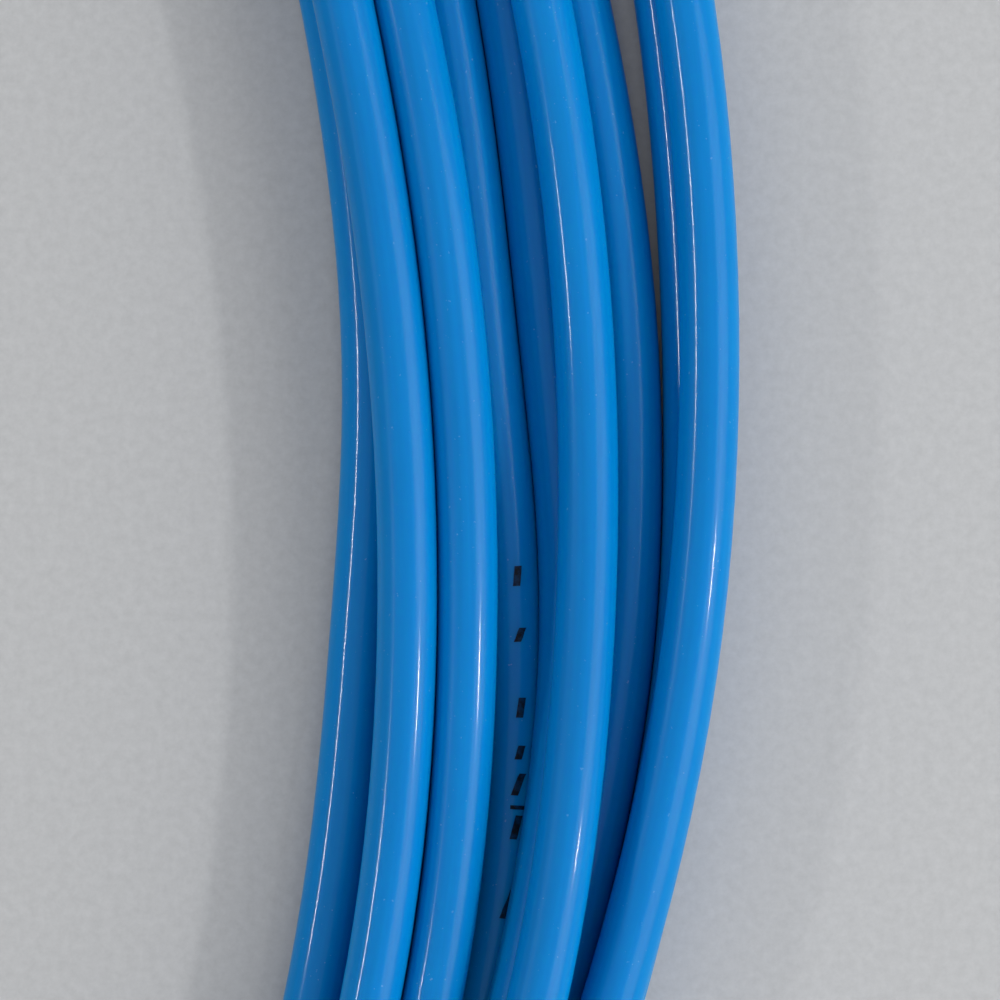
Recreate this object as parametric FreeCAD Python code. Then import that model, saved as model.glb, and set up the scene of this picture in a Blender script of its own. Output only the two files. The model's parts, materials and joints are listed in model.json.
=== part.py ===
"""Coiled air hose: ten loose turns of 6 mm polyurethane tube lying flat in a ring, held by four
cable ties, with a quick coupler socket on the inner end and a plug on the other end.

Millimetres, +Z up. The origin is the centre of the ring on the surface it lies on.
Both fittings lie inside the ring with their axes along X and their mouths towards +X.
"""

import FreeCAD
import Part
import math
import os

from FreeCAD import Placement, Rotation, Vector

# ---------------------------------------------------------------- driving dimensions
# hose, wound in a ring
HOSE_OD = 6.0
HOSE_BORE = 4.0
RING_RADIUS = 240.0          # mean radius of the wound turns
FAN_WIDTH = 41.0             # across the bundle where its turns fan out, between two ties
FAN_LAYERS = 2
TIED_COLUMNS = 4             # tubes side by side inside a tie
TIED_LAYERS = 3              # layers of tube nested in each other inside a tie
BUNDLE_SLACK = 0.2
COIL_CORNER_RADIUS = 3.0     # rounding of the bundle's section
COIL_STATIONS = 16           # sections from one tie to the next
COIL_SINK = 1.0              # bundle's outline below the floor, before its underside is cut flat
COIL_LIFT_SHARE = 0.4        # share of the fanning over which the bundle comes down from its tie

# cable ties
TIE_COUNT = 4
FIRST_TIE_ANGLE = 52.0
TIE_STRAP_WIDTH = 4.8
TIE_STRAP_THICKNESS = 1.2
TIE_GAP = 0.2                # strap to bundle
TIE_HEAD_LENGTH = 7.6        # along the strap
TIE_HEAD_WIDTH = 7.0         # across the strap
TIE_HEAD_HEIGHT = 4.4
TIE_STUB_LENGTH = 5.0        # what is left of the trimmed end
TIE_STUB_RISE = 1.2          # strap to trimmed end
TIE_HEAD_ROUNDING = 0.8

# clearances
NOSE_CLEARANCE = 0.08        # plug nose in the socket's bore
MOUTH_CLEARANCE = 0.3        # plug nose in the wider mouth of that bore
BALL_CLEARANCE = 0.05
SLEEVE_CLEARANCE = 0.05
STEM_CLEARANCE = 0.02        # hose stem in the hose
THREAD_CLEARANCE = 0.03
VALVE_STEM_CLEARANCE = 0.06
RING_SQUEEZE_GAP = 0.02      # O-ring to the wall of its seat
SEAT_GAP = 0.05              # face to face distance of seated pieces
REST_GAP = 0.1               # fitting to the surface that the ring lies on
HOSE_GAP = 0.05              # hose to that surface
CROSSING_GAP = 0.25          # hose to a hose that it crosses

# plug
NOSE_RADIUS = 3.8
NOSE_TIP_LENGTH = 4.6        # tip to the locking groove
NOSE_TIP_CHAMFER = 0.9
NOSE_TIP_TAPER = 1.0         # length of that chamfer
GROOVE_SPARE = 0.5           # locking groove longer than a ball
GROOVE_FRONT_TAPER = 0.6
GROOVE_REAR_TAPER = 0.9
NOSE_SPARE = 0.55            # plugged in, socket's face to the plug's hexagon
AIR_BORE_RADIUS = 1.3
AIR_BORE_CHAMFER = 0.4
PLUG_HEX_LENGTH = 5.0

# locking balls
BALL_COUNT = 6
BALL_RADIUS = 1.4
BALL_BITE = 0.7              # how far a locked ball stands into the bore
BALL_LIFT = 0.72             # outward travel that frees the plug

# coupler body
BODY_WALL = 1.97             # bore to the barrel's outside
MOUTH_CHAMFER = 1.0
BODY_EDGE = 0.4              # chamfer of the front face's rim
BALL_TO_MOUTH = 0.4          # ball to the end of the wider mouth
PLUG_RING_SECTION = 0.72     # radius of the seal's section
PLUG_RING_BITE = 0.18        # how far the seal stands into the bore
SEAL_LAND = 1.0              # seal groove to valve seat
BALL_TO_SEAL = 1.4
BODY_HEX_RISE = 0.6          # collar to the hexagon's flats
BODY_HEX_LENGTH = 5.0
HEX_CHAMFER = 0.5

# release sleeve and its spring
SLEEVE_TRAVEL = 3.5
SLEEVE_WALL = 2.05
SLEEVE_FRONT_X = 0.5         # behind the body's front face
SLEEVE_LAND_LENGTH = 1.2     # front guide land
SLEEVE_REAR_LAP = 2.0        # sleeve over the body's collar
SLEEVE_TO_HEX = 0.5          # pulled back, sleeve to the body's hexagon
BALL_TO_SPRING = 0.9         # ball to the spring's chamber
SLEEVE_NOSE_LENGTH = 3.1
SLEEVE_NOSE_CONE = 1.0       # length of its tapered front
SLEEVE_NOSE_FACE = 1.5       # outside of the sleeve to the rim of its front face
SLEEVE_NOSE_DROP = 0.6       # nose below the grip
SLEEVE_GROOVE_DROP = 1.3     # depth of the groove between nose and grip
SLEEVE_BAND_LENGTH = 4.8     # smooth band behind the grip
SLEEVE_BAND_DROP = 1.0       # depth of the band's groove
SLEEVE_BAND_GROOVE = 1.2     # width of its floor
SLEEVE_TAPER = 1.0           # length of each groove's sides
SLEEVE_REAR_CHAMFER = 0.8
GRIP_FLUTES = 30
GRIP_FLUTE_RADIUS = 0.7
GRIP_FLUTE_DEPTH = 0.4
GRIP_FLUTE_INSET = 0.8       # flutes' ends to the ends of the grip
STOP_RING_WIRE = 1.2
STOP_RING_GROOVE_DEPTH = 0.5
STOP_RING_GAP_ANGLE = 30.0
SLEEVE_SPRING_WIRE = 0.9
SLEEVE_SPRING_ROOM = 1.55    # barrel to collar height, which the spring sits in
SLEEVE_SPRING_LENGTH = 9.1
SLEEVE_SPRING_TURNS = 4

# non-return valve
VALVE_PILOT_GAP = 0.48       # pilot to bore
VALVE_PILOT_REACH = 0.7      # pilot in front of the valve seat
VALVE_PILOT_SLOT = 1.6
VALVE_HEAD_LENGTH = 2.5
VALVE_HEAD_RIM = 0.1         # head wider than its seal
VALVE_HEAD_TAPER = 0.6
VALVE_HEAD_CHAMFER = 0.9
VALVE_PILOT_CHAMFER = 0.3
VALVE_SLOT_FLOOR = 0.5       # slots to the head
VALVE_SEAT_WIDTH = 1.12
VALVE_STEM_RADIUS = 1.1
VALVE_STEM_SHORT = 0.2       # stem's end to the web's rear face
VALVE_RING_SECTION = 0.45    # radius of the seal's section
VALVE_SPRING_WIRE = 0.5
VALVE_SPRING_RADIUS = 2.6
VALVE_SPRING_LENGTH = 5.03
VALVE_SPRING_TURNS = 5

# rear adaptor
TAIL_THREAD_DEPTH = 0.6      # valve chamber to thread
TAIL_WEB = 2.2               # thickness of the web that guides the valve stem
TAIL_FLOW_HOLES = 4
TAIL_FLOW_RADIUS = 0.95
TAIL_FLOW_CIRCLE = 3.2
TAIL_CAVITY_RADIUS = 4.2
TAIL_CAVITY_CONE = 2.0       # length of the cone that leads to the air bore
TAIL_HEX_MARGIN = 0.2        # gasket's rim to the hexagon's flats
TAIL_HEX_LENGTH = 3.5
GASKET_WIDTH = 1.2
GASKET_THICKNESS = 0.9

# hose end, the same on the adaptor and on the plug
THREAD_WALL = 1.6            # hose outside to thread
THREAD_LENGTH = 6.0
THREAD_CHAMFER = 0.6
STEM_LENGTH = 10.6
STEM_ROOT_LENGTH = 1.2
STEM_END_CHAMFER = 0.3
STEM_END_TAPER = 0.5         # length of that chamfer
NUT_WALL = 1.05
NUT_HEX_RISE = 0.6           # boss to the hexagon's flats
NUT_HEX_LENGTH = 6.2
NUT_LENGTH = 13.0
NUT_REAR_CHAMFER = 0.6
NUT_CONE = 0.8               # length of the cone that presses the hose on its stem
NUT_BORE_CLEARANCE = 0.1
GUARD_WIRE = 1.0
GUARD_CLEARANCE = 0.25       # hose to guard spring
GUARD_SOCKET_DEPTH = 4.6     # how deep the guard sits in the nut
GUARD_LENGTH = 34.0
GUARD_TURNS = 15

# ---------------------------------------------------------------- sizes that follow
LAYER_RISE = HOSE_OD * math.sqrt(3) / 2
FAN_HEIGHT = FAN_LAYERS * HOSE_OD + BUNDLE_SLACK
TIED_WIDTH = TIED_COLUMNS * HOSE_OD + 2 * BUNDLE_SLACK
TIED_HEIGHT = HOSE_OD + (TIED_LAYERS - 1) * LAYER_RISE + BUNDLE_SLACK
TIE_LIFT = TIE_STRAP_THICKNESS + TIE_GAP
HOSE_RADIUS = HOSE_OD / 2
STEM_RADIUS = HOSE_BORE / 2 - STEM_CLEARANCE
HOSE_ON_FLOOR = HOSE_RADIUS + HOSE_GAP
HOSE_ON_HOSE = HOSE_ON_FLOOR + HOSE_OD + CROSSING_GAP

# radii of the socket, from the bore outwards
BORE_RADIUS = NOSE_RADIUS + NOSE_CLEARANCE
BALL_CIRCLE = BORE_RADIUS - BALL_BITE + BALL_RADIUS
WEDGE = math.atan2(BALL_LIFT, SLEEVE_TRAVEL)
BODY_RADIUS = BORE_RADIUS + BODY_WALL
COLLAR_RADIUS = BODY_RADIUS + SLEEVE_SPRING_ROOM
SLEEVE_RADIUS = COLLAR_RADIUS + SLEEVE_CLEARANCE + SLEEVE_WALL
BODY_HEX = 2 * (COLLAR_RADIUS + BODY_HEX_RISE)
VALVE_CHAMBER_RADIUS = BORE_RADIUS + VALVE_SEAT_WIDTH
VALVE_PILOT_RADIUS = BORE_RADIUS - VALVE_PILOT_GAP
VALVE_HEAD_RADIUS = VALVE_PILOT_RADIUS + 2 * VALVE_RING_SECTION + VALVE_HEAD_RIM
TAIL_BORE_RADIUS = VALVE_CHAMBER_RADIUS + TAIL_THREAD_DEPTH
TAIL_HEX = 2 * (TAIL_BORE_RADIUS + GASKET_WIDTH + TAIL_HEX_MARGIN)

# places along the socket, from its mouth to the hose
STOP_RING_X = SLEEVE_FRONT_X + STOP_RING_WIRE + SEAT_GAP
LAND_X = STOP_RING_X + STOP_RING_WIRE / 2 + SEAT_GAP
WEDGE_X = LAND_X + SLEEVE_LAND_LENGTH
BALL_X = WEDGE_X + SLEEVE_TRAVEL + BALL_RADIUS + 2 * BALL_CLEARANCE
GUIDE_BORE_END = BALL_X - BALL_RADIUS - BALL_TO_MOUTH
SEAL_GROOVE_X = BALL_X + BALL_RADIUS + BALL_TO_SEAL
SEAL_GROOVE_WIDTH = 2 * (PLUG_RING_SECTION + 4 * RING_SQUEEZE_GAP)
VALVE_SEAT_X = SEAL_GROOVE_X + SEAL_GROOVE_WIDTH + SEAL_LAND
VALVE_PILOT_X = VALVE_SEAT_X - VALVE_PILOT_REACH
VALVE_HEAD_X = VALVE_SEAT_X + SEAT_GAP + 2 * VALVE_RING_SECTION + RING_SQUEEZE_GAP
TAIL_BORE_X = VALVE_HEAD_X + VALVE_HEAD_LENGTH + VALVE_SPRING_LENGTH
SPRING_CHAMBER_X = BALL_X + BALL_RADIUS + BALL_TO_SPRING
COLLAR_X = SPRING_CHAMBER_X + SLEEVE_SPRING_LENGTH
SLEEVE_REAR_X = COLLAR_X + SLEEVE_REAR_LAP
BODY_HEX_X = SLEEVE_REAR_X + SLEEVE_TRAVEL + SLEEVE_TO_HEX
BODY_LENGTH = BODY_HEX_X + BODY_HEX_LENGTH
TAIL_FLANGE_X = BODY_LENGTH + GASKET_THICKNESS + 2 * SEAT_GAP
TAIL_THREAD_X = TAIL_FLANGE_X + TAIL_HEX_LENGTH

# hose end and plug
THREAD_RADIUS = HOSE_RADIUS + THREAD_WALL
GUARD_BORE = HOSE_RADIUS + GUARD_CLEARANCE + GUARD_WIRE + NUT_BORE_CLEARANCE
NUT_BOSS_RADIUS = GUARD_BORE + NUT_WALL
NUT_HEX = 2 * (NUT_BOSS_RADIUS + NUT_HEX_RISE)
NOSE_GROOVE_WIDTH = 2 * BALL_RADIUS + GROOVE_SPARE
NOSE_LENGTH = BALL_X + NOSE_TIP_LENGTH + NOSE_GROOVE_WIDTH / 2 + NOSE_SPARE
PLUG_THREAD_X = NOSE_LENGTH + PLUG_HEX_LENGTH

# where the fittings lie inside the ring
SOCKET_MOUTH = Vector(-14.0, 118.0, SLEEVE_RADIUS + REST_GAP)
PLUG_TIP = Vector(-20.0, -131.0, NUT_HEX / 2 + REST_GAP)

X_AXIS = Vector(1, 0, 0)


# ---------------------------------------------------------------- building blocks
def turned(outline):
    """Solid turned about the X axis from its (x, radius) corners."""
    corners = [Vector(x, 0, r) for x, r in outline]
    face = Part.Face(Part.makePolygon(corners + corners[:1]))
    return face.revolve(Vector(0, 0, 0), X_AXIS, 360)


def bored(start, end, radius):
    """Cylinder along X from start to end."""
    return Part.makeCylinder(radius, end - start, Vector(start, 0, 0), X_AXIS)


def hexagon(start, length, across_flats):
    """Hexagonal bar along X with its corners turned down at both ends, one flat facing down."""
    corner = across_flats / math.sqrt(3)
    turns = [math.pi / 3 * i for i in range(7)]
    points = [Vector(start, corner * math.cos(t), corner * math.sin(t)) for t in turns]
    bar = Part.Face(Part.makePolygon(points)).extrude(Vector(length, 0, 0))
    rim = corner - HEX_CHAMFER
    taper = (corner - across_flats / 2) / 2
    clear_of_corner = 1.001 * corner
    end = start + length
    blank = turned([
        (start, 0), (start, rim), (start + taper, clear_of_corner),
        (end - taper, clear_of_corner), (end, rim), (end, 0),
    ])
    return bar.common(blank)


def spring(start, end, mean_radius, wire, turns):
    """Round-wire compression spring along X, its wire's outside just between start and end."""
    rise = end - start - wire
    helix = Part.makeHelix(rise / turns, rise, mean_radius)
    section = Part.Wire(Part.makeCircle(wire / 2, Vector(mean_radius, 0, 0), Vector(0, 1, 0)))
    coil = Part.Wire(helix.Edges).makePipeShell([section], True, True)
    coil.rotate(Vector(0, 0, 0), Vector(0, 1, 0), 90)
    coil.translate(Vector(start + wire / 2, 0, 0))
    return coil


def ring(x, mean_radius, section_radius):
    """O-ring about the X axis."""
    return Part.makeTorus(mean_radius, section_radius, Vector(x, 0, 0), X_AXIS)


def laid(shape, point):
    """Turns a fitting so that its mouth faces +X and puts the mouth's centre at a point."""
    moved = shape.copy()
    moved.Placement = Placement(point, Rotation(Vector(0, 0, 1), 180)).multiply(moved.Placement)
    return moved


# ---------------------------------------------------------------- hose
def bundle_section(angle):
    """Outline of the bundle at an angle round the ring, in the plane through the Z axis."""
    fanned = math.sin(math.radians(2 * (angle - FIRST_TIE_ANGLE))) ** 2
    half = (TIED_WIDTH + (FAN_WIDTH - TIED_WIDTH) * fanned) / 2
    top = TIE_LIFT + TIED_HEIGHT + (FAN_HEIGHT - TIE_LIFT - TIED_HEIGHT) * fanned
    lifted = max(0.0, 1.0 - fanned / COIL_LIFT_SHARE)
    bottom = TIE_LIFT * lifted - COIL_SINK * (1.0 - lifted)
    outward = Vector(math.cos(math.radians(angle)), math.sin(math.radians(angle)), 0)

    def point(across, up):
        return outward * (RING_RADIUS + across) + Vector(0, 0, up)

    c = COIL_CORNER_RADIUS
    centres = [
        (half - c, bottom + c, -90), (half - c, top - c, 0),
        (c - half, top - c, 90), (c - half, bottom + c, 180),
    ]
    corners = []
    for across, up, start in centres:
        turns = [math.radians(start + step) for step in (0, 45, 90)]
        corners.append([point(across + c * math.cos(t), up + c * math.sin(t)) for t in turns])
    edges = []
    for i, corner in enumerate(corners):
        edges.append(Part.Arc(*corner).toShape())
        edges.append(Part.makeLine(corner[2], corners[(i + 1) % 4][0]))
    return Part.Wire(edges)


def hose_coil():
    """Outer shape of the wound turns: a flat-bottomed ring, gathered at each tie."""
    quarters = []
    span = 360 / TIE_COUNT
    for tie in range(TIE_COUNT):
        start = FIRST_TIE_ANGLE + span * tie
        angles = [start + span * i / COIL_STATIONS for i in range(COIL_STATIONS + 1)]
        quarters.append(Part.makeLoft([bundle_section(a) for a in angles], True, False))
    ring_solid = quarters[0].fuse(quarters[1:]).removeSplitter()
    reach = RING_RADIUS + FAN_WIDTH
    above = Part.makeBox(2 * reach, 2 * reach, 4 * FAN_HEIGHT, Vector(-reach, -reach, 0))
    return ring_solid.common(above)


# The free ends leave the ring's inner side and lie on the floor until they rise to their fitting.
# Each route starts at the fitting's stem, and ends inside the bundle.
def hose_start_x(thread_x):
    return thread_x + THREAD_LENGTH + STEM_ROOT_LENGTH


SOCKET_ROUTE = [
    SOCKET_MOUTH - Vector(hose_start_x(TAIL_THREAD_X), 0, 0),
    Vector(-104.0, 118.0, SOCKET_MOUTH.z),
    Vector(-136.0, 112.5, 7.0),
    Vector(-164.0, 97.0, 4.0),
    Vector(-187.5, 73.5, HOSE_ON_FLOOR),
    Vector(-204.0, 45.5, HOSE_ON_FLOOR),
    Vector(-213.5, 15.5, HOSE_ON_FLOOR),
    Vector(-217.5, -15.5, HOSE_ON_FLOOR),
    Vector(-218.5, -46.5, HOSE_ON_FLOOR),
]
PLUG_ROUTE = [
    PLUG_TIP - Vector(hose_start_x(PLUG_THREAD_X), 0, 0),
    Vector(-92.0, -131.0, PLUG_TIP.z),
    Vector(-124.0, -128.0, 3.6),
    Vector(-156.0, -118.0, HOSE_ON_FLOOR),
    Vector(-183.7, -99.7, 5.6),
    Vector(-206.7, -75.2, HOSE_ON_HOSE),
    Vector(-221.5, -47.1, HOSE_ON_HOSE + 0.5),
    Vector(-228.4, -16.0, HOSE_ON_HOSE),
]


def hose_path(name, points):
    """Straight runs joined by tangent arcs, each as large as its two runs allow."""
    edges = []
    start = points[0]
    radii = []
    for before, corner, after in zip(points, points[1:], points[2:]):
        back = (before - corner).normalize()
        ahead = (after - corner).normalize()
        turn = math.pi - back.getAngle(ahead)
        setback = 0.45 * min((before - corner).Length, (after - corner).Length)
        radius = setback / math.tan(turn / 2)
        radii.append(radius)
        first = corner + back * setback
        last = corner + ahead * setback
        bisector = (back + ahead).normalize()
        middle = corner + bisector * (radius / math.cos(turn / 2) - radius)
        edges.append(Part.LineSegment(start, first).toShape())
        edges.append(Part.Arc(first, middle, last).toShape())
        start = last
    edges.append(Part.LineSegment(start, points[-1]).toShape())
    print(name, "radii", [round(r) for r in radii], "smallest", round(min(radii) / HOSE_OD, 1), "diameters")
    return Part.Wire(edges)


def hose_tail(name, points):
    """Hollow tube along a route."""
    path = hose_path(name, points)
    along = (points[1] - points[0]).normalize()
    outer = Part.Wire(Part.makeCircle(HOSE_RADIUS, points[0], along))
    inner = Part.Wire(Part.makeCircle(HOSE_BORE / 2, points[0], along))
    tube = path.makePipeShell([outer], True, False).cut(path.makePipeShell([inner], True, False))
    wall = math.pi * (HOSE_RADIUS ** 2 - (HOSE_BORE / 2) ** 2)
    print(name, "length", round(path.Length, 1), "volume over section x length",
          round(tube.Volume / (wall * path.Length), 4))
    return tube


# ---------------------------------------------------------------- cable ties
def cable_tie(angle):
    """One-piece tie: strap round the bundle, ratchet head on top and the trimmed end."""
    half = TIED_WIDTH / 2 + TIE_GAP
    low = TIE_STRAP_THICKNESS
    high = TIE_LIFT + TIED_HEIGHT + TIE_GAP
    strap = TIE_STRAP_THICKNESS
    outer = Part.makeBox(2 * (half + strap), TIE_STRAP_WIDTH, high + strap,
                         Vector(-half - strap, -TIE_STRAP_WIDTH / 2, 0))
    outer = outer.makeFillet(COIL_CORNER_RADIUS + strap, edges_along_y(outer))
    inner = Part.makeBox(2 * half, TIE_STRAP_WIDTH, high - low, Vector(-half, -TIE_STRAP_WIDTH / 2, low))
    inner = inner.makeFillet(COIL_CORNER_RADIUS, edges_along_y(inner))
    head_base = high + strap / 2
    head = Part.makeBox(TIE_HEAD_LENGTH, TIE_HEAD_WIDTH, TIE_HEAD_HEIGHT + strap / 2,
                        Vector(-TIE_HEAD_LENGTH / 2, -TIE_HEAD_WIDTH / 2, head_base))
    upper_edges = [e for e in head.Edges if e.BoundBox.ZMax > head_base + strap]
    head = head.makeFillet(TIE_HEAD_ROUNDING, upper_edges)
    stub = Part.makeBox(TIE_HEAD_LENGTH / 2 + TIE_STUB_LENGTH, TIE_STRAP_WIDTH, strap,
                        Vector(0, -TIE_STRAP_WIDTH / 2, high + strap + TIE_STUB_RISE))
    tie = outer.cut(inner).fuse([head, stub]).removeSplitter()
    tie.translate(Vector(RING_RADIUS, 0, 0))
    tie.rotate(Vector(0, 0, 0), Vector(0, 0, 1), angle)
    return tie


def edges_along_y(box):
    """The four edges of a box that run along Y."""
    return [e for e in box.Edges if e.BoundBox.YLength > max(e.BoundBox.XLength, e.BoundBox.ZLength)]


# ---------------------------------------------------------------- coupler socket
def ball_directions():
    """Unit vectors of the balls across the socket's axis."""
    for i in range(BALL_COUNT):
        angle = 2 * math.pi * (i + 0.5) / BALL_COUNT
        yield Vector(0, math.cos(angle), math.sin(angle))


def ball_pocket(outward):
    """Round-bottomed hole from a ball's seat outwards through the body's barrel."""
    r = BALL_RADIUS + BALL_CLEARANCE
    bottom = Vector(0, 0, -r)
    side = Vector(r, 0, 0)
    seat = Part.Arc(bottom, (bottom + side) / math.sqrt(2), side).toShape()
    walls = Part.makePolygon([side, Vector(r, 0, BODY_RADIUS), Vector(0, 0, BODY_RADIUS), bottom])
    pocket = Part.Face(Part.Wire([seat] + walls.Edges)).revolve(Vector(0, 0, 0), Vector(0, 0, 1), 360)
    centre = Vector(BALL_X, 0, 0) + outward * BALL_CIRCLE
    pocket.Placement = Placement(centre, Rotation(Vector(0, 0, 1), outward))
    return pocket


def coupler_body():
    mouth = NOSE_RADIUS + MOUTH_CLEARANCE
    groove_floor = BORE_RADIUS + 2 * PLUG_RING_SECTION - PLUG_RING_BITE + RING_SQUEEZE_GAP
    ring_floor = BODY_RADIUS - STOP_RING_GROOVE_DEPTH
    ring_half = STOP_RING_WIRE / 2 + SEAT_GAP
    body = turned([
        (0, mouth + MOUTH_CHAMFER), (0, BODY_RADIUS - BODY_EDGE), (BODY_EDGE, BODY_RADIUS),
        (STOP_RING_X - ring_half, BODY_RADIUS), (STOP_RING_X - ring_half, ring_floor),
        (STOP_RING_X + ring_half, ring_floor), (STOP_RING_X + ring_half, BODY_RADIUS),
        (COLLAR_X, BODY_RADIUS), (COLLAR_X, COLLAR_RADIUS),
        (BODY_HEX_X, COLLAR_RADIUS), (BODY_LENGTH, COLLAR_RADIUS), (BODY_LENGTH, TAIL_BORE_RADIUS),
        (TAIL_BORE_X, TAIL_BORE_RADIUS), (TAIL_BORE_X, VALVE_CHAMBER_RADIUS),
        (VALVE_SEAT_X, VALVE_CHAMBER_RADIUS), (VALVE_SEAT_X, BORE_RADIUS),
        (SEAL_GROOVE_X + SEAL_GROOVE_WIDTH, BORE_RADIUS), (SEAL_GROOVE_X + SEAL_GROOVE_WIDTH, groove_floor),
        (SEAL_GROOVE_X, groove_floor), (SEAL_GROOVE_X, BORE_RADIUS),
        (GUIDE_BORE_END, BORE_RADIUS), (GUIDE_BORE_END, mouth), (MOUTH_CHAMFER, mouth),
    ])
    flats = hexagon(BODY_HEX_X, BODY_HEX_LENGTH, BODY_HEX)
    body = body.fuse(flats.cut(bored(BODY_HEX_X, BODY_LENGTH, TAIL_BORE_RADIUS)))
    return body.cut([ball_pocket(outward) for outward in ball_directions()])


def wedge_radius(x):
    """Radius of the sleeve's wedge cone, which holds the balls in at rest."""
    over_ball = BALL_CIRCLE + (BALL_RADIUS + BALL_CLEARANCE) / math.cos(WEDGE)
    return over_ball - math.tan(WEDGE) * (x - BALL_X)


def coupler_sleeve():
    guide = BODY_RADIUS + SLEEVE_CLEARANCE
    narrow_x = BALL_X + (wedge_radius(BALL_X) - guide) / math.tan(WEDGE)
    counterbore = BODY_RADIUS + STOP_RING_WIRE
    chamber = COLLAR_RADIUS + SLEEVE_CLEARANCE
    front = SLEEVE_FRONT_X
    nose_end = front + SLEEVE_NOSE_LENGTH
    grip_x = nose_end + 2 * SLEEVE_TAPER
    grip_end = SLEEVE_REAR_X - SLEEVE_BAND_LENGTH
    groove_x = grip_end + SLEEVE_TAPER
    groove_end = groove_x + SLEEVE_BAND_GROOVE
    rear = SLEEVE_REAR_X
    r = SLEEVE_RADIUS
    sleeve = turned([
        (front, counterbore), (front, r - SLEEVE_NOSE_FACE), (front + SLEEVE_NOSE_CONE, r - SLEEVE_NOSE_DROP),
        (nose_end, r - SLEEVE_NOSE_DROP), (nose_end + SLEEVE_TAPER, r - SLEEVE_GROOVE_DROP), (grip_x, r),
        (grip_end, r), (groove_x, r - SLEEVE_BAND_DROP), (groove_end, r - SLEEVE_BAND_DROP),
        (groove_end + SLEEVE_TAPER, r), (rear - SLEEVE_REAR_CHAMFER, r), (rear, r - SLEEVE_REAR_CHAMFER),
        (rear, chamber), (SPRING_CHAMBER_X, chamber), (SPRING_CHAMBER_X, guide), (narrow_x, guide),
        (WEDGE_X, wedge_radius(WEDGE_X)), (WEDGE_X, guide), (LAND_X, guide), (LAND_X, counterbore),
    ])
    flute_line = r + GRIP_FLUTE_RADIUS - GRIP_FLUTE_DEPTH
    flute_length = grip_end - grip_x - 2 * GRIP_FLUTE_INSET
    flutes = []
    for i in range(GRIP_FLUTES):
        angle = 2 * math.pi * i / GRIP_FLUTES
        start = Vector(grip_x + GRIP_FLUTE_INSET, flute_line * math.cos(angle), flute_line * math.sin(angle))
        flutes.append(Part.makeCylinder(GRIP_FLUTE_RADIUS, flute_length, start, X_AXIS))
    return sleeve.cut(flutes)


def sleeve_stop_ring():
    """Split wire ring in the body's front groove, which the sleeve rests against."""
    mean = BODY_RADIUS - STOP_RING_GROOVE_DEPTH + STOP_RING_WIRE / 2 + RING_SQUEEZE_GAP
    whole = ring(STOP_RING_X, mean, STOP_RING_WIRE / 2)
    half_gap = mean * math.tan(math.radians(STOP_RING_GAP_ANGLE / 2))
    gap = Part.makeBox(2 * STOP_RING_WIRE, 2 * half_gap, 2 * mean,
                       Vector(STOP_RING_X - STOP_RING_WIRE, -half_gap, 0))
    return whole.cut(gap)


def sleeve_spring():
    mean = (BODY_RADIUS + COLLAR_RADIUS + SLEEVE_CLEARANCE) / 2
    start = SPRING_CHAMBER_X + SEAT_GAP
    return spring(start, COLLAR_X - SEAT_GAP, mean, SLEEVE_SPRING_WIRE, SLEEVE_SPRING_TURNS)


def plug_seal():
    middle = SEAL_GROOVE_X + SEAL_GROOVE_WIDTH / 2
    return ring(middle, BORE_RADIUS + PLUG_RING_SECTION - PLUG_RING_BITE, PLUG_RING_SECTION)


def valve_poppet():
    """Pilot that the plug's tip pushes, sealing head, and the stem that the adaptor guides."""
    head_end = VALVE_HEAD_X + VALVE_HEAD_LENGTH
    stem_end = TAIL_BORE_X + TAIL_WEB - VALVE_STEM_SHORT
    poppet = turned([
        (VALVE_PILOT_X, 0), (VALVE_PILOT_X, VALVE_PILOT_RADIUS - VALVE_PILOT_CHAMFER),
        (VALVE_PILOT_X + VALVE_PILOT_CHAMFER, VALVE_PILOT_RADIUS), (VALVE_HEAD_X, VALVE_PILOT_RADIUS),
        (VALVE_HEAD_X, VALVE_HEAD_RADIUS), (head_end - VALVE_HEAD_TAPER, VALVE_HEAD_RADIUS),
        (head_end, VALVE_HEAD_RADIUS - VALVE_HEAD_CHAMFER), (head_end, VALVE_STEM_RADIUS),
        (stem_end, VALVE_STEM_RADIUS), (stem_end, 0),
    ])
    depth = VALVE_HEAD_X - VALVE_PILOT_X - VALVE_SLOT_FLOOR
    across = 3 * VALVE_PILOT_RADIUS
    for width, height in ((VALVE_PILOT_SLOT, across), (across, VALVE_PILOT_SLOT)):
        corner = Vector(VALVE_PILOT_X, -width / 2, -height / 2)
        poppet = poppet.cut(Part.makeBox(depth, width, height, corner))
    return poppet


def valve_seal():
    x = VALVE_HEAD_X - VALVE_RING_SECTION - RING_SQUEEZE_GAP
    return ring(x, VALVE_PILOT_RADIUS + VALVE_RING_SECTION + RING_SQUEEZE_GAP, VALVE_RING_SECTION)


def valve_spring():
    start = VALVE_HEAD_X + VALVE_HEAD_LENGTH + SEAT_GAP
    return spring(start, TAIL_BORE_X - SEAT_GAP, VALVE_SPRING_RADIUS, VALVE_SPRING_WIRE, VALVE_SPRING_TURNS)


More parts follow.
